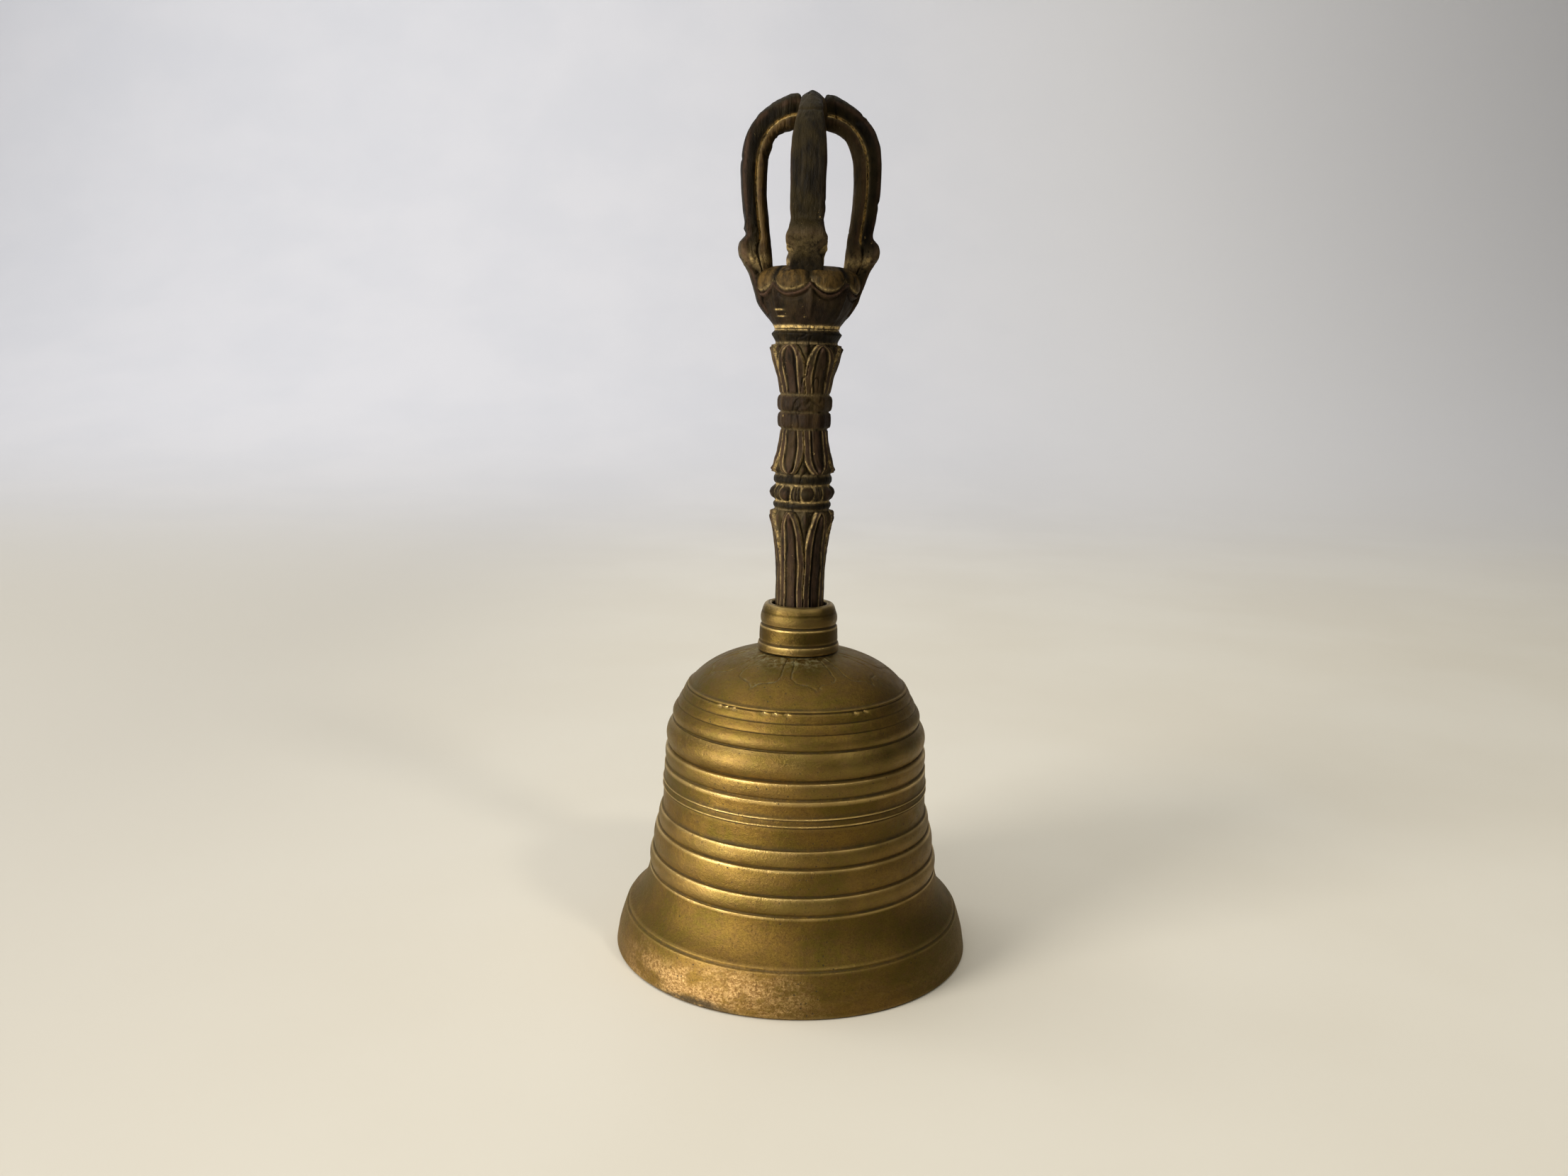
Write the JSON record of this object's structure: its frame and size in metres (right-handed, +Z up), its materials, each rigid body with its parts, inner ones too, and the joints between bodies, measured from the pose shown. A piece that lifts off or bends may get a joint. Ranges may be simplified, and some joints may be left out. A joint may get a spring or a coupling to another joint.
{
  "type": "temple bell",
  "caption": "Hand bell with a ribbed brass body, a hanging clapper inside, and a carved wooden handle topped by a cage of curved prongs round a central one.",
  "frame": {"origin": "centre of the bell's mouth, in the plane of the lip that the bell stands on", "axes": "+Z up along the bell and handle axis, -Y towards the front, +X to the right seen from the front"},
  "size_m": [0.078, 0.078, 0.182],
  "materials": {
    "cast_brass": "aged satin brass with an olive patina",
    "clapper_brass": "dull cast brass, polished where it strikes",
    "carved_wood": "dark lacquered wood with worn gilding in the hollows",
    "forged_iron": "dark forged iron"
  },
  "bodies": {
    "bell": {"bell_shell": "cast_brass", "collar": "cast_brass", "handle_shaft": "carved_wood", "vajra_cup": "carved_wood", "prong_right": "carved_wood", "prong_back": "carved_wood", "prong_left": "carved_wood", "prong_front": "carved_wood", "prong_centre": "carved_wood", "eye_bolt": "forged_iron", "crown_washer": "cast_brass", "crown_nut": "forged_iron"},
    "clapper_link": {"clapper_hook": "forged_iron"},
    "clapper": {"clapper_shank": "forged_iron", "clapper_ball": "clapper_brass"}
  },
  "joints": [
    {"name": "hook_sway", "type": "hinge", "parent": "bell", "child": "clapper_link", "pos_m": [0, 0, 0.0524], "axis": [1, 0, 0], "range_deg": [-8, 8]},
    {"name": "clapper_swing", "type": "hinge", "parent": "clapper_link", "child": "clapper", "pos_m": [0, 0, 0.0474], "axis": [0, 1, 0], "range_deg": [-38, 38]}
  ]
}
